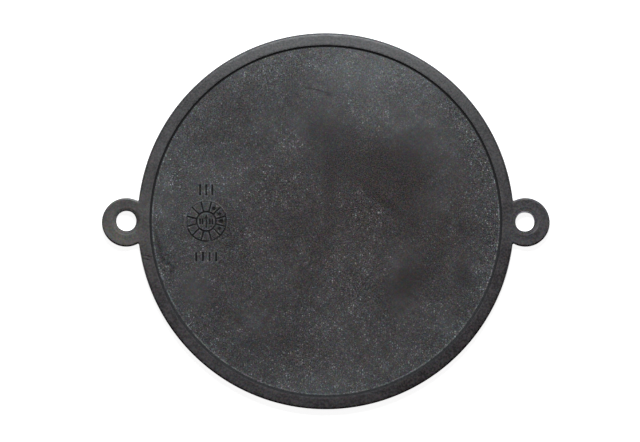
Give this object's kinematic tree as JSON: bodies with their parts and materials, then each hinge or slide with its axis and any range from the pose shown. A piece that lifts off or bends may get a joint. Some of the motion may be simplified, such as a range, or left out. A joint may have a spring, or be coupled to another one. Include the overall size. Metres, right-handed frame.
{
  "type": "expansion vessel diaphragm",
  "caption": "Round moulded rubber diaphragm: a thin flat web inside a raised clamping rim, with drilled screw lugs on the rim, to part water from gas in a vessel or valve.",
  "frame": {"origin": "centre of the disc, on the plane of the bead's flat back face, which the part lies on", "axes": "+Z out of the front of the web, X through the axes of both screw holes with the date dial on the -X side, +Y across"},
  "size_m": [0.088, 0.074, 0.0032],
  "materials": {
    "rubber": "satin on the rim and lugs, dull and finely scuffed on the web"
  },
  "bodies": {
    "root": {"diaphragm": "rubber"}
  },
  "joints": []
}
